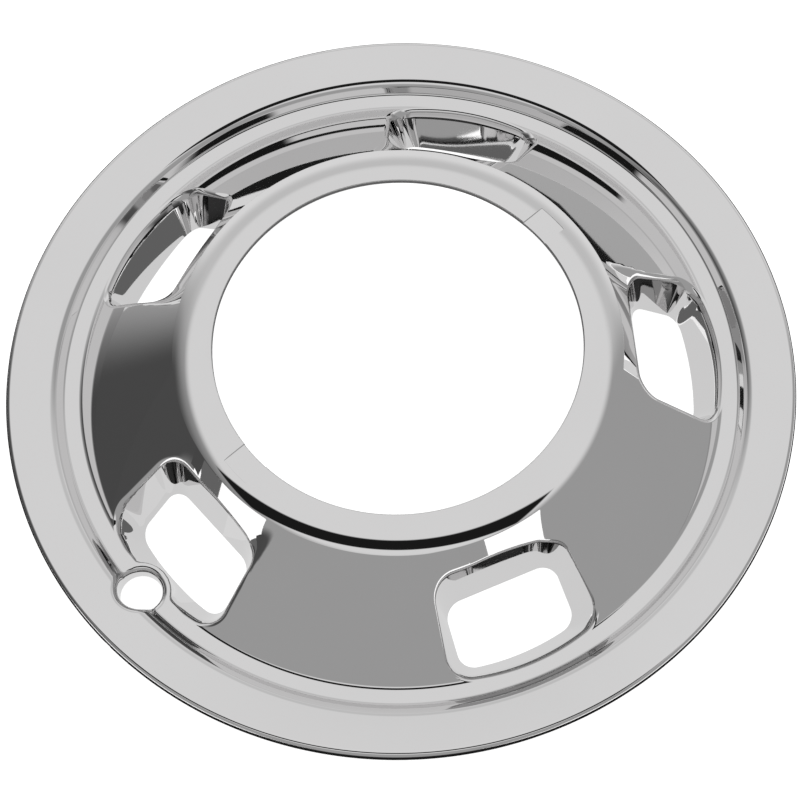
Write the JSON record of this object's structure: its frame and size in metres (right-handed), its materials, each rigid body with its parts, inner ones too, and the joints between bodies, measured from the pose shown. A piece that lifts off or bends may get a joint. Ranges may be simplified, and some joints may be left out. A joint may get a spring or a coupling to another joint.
{
  "type": "truck wheel simulator",
  "caption": "Chrome-plated moulded skin for a truck's dual-wheel steel rim: rolled lip, stepped flange, cone-shaped web with hand-hole tunnels, raised hub ring and a valve hole.",
  "frame": {"origin": "on the wheel axis, in the plane that the five tunnel ends rest on", "axes": "+Z along the wheel axis, out of the shown face; the valve hole lies towards -Y"},
  "size_m": [0.47, 0.47, 0.0807],
  "materials": {
    "chrome_plating": "bright mirror chrome plating over moulded plastic"
  },
  "bodies": {
    "root": {"wheel_simulator": "chrome_plating"}
  },
  "joints": []
}
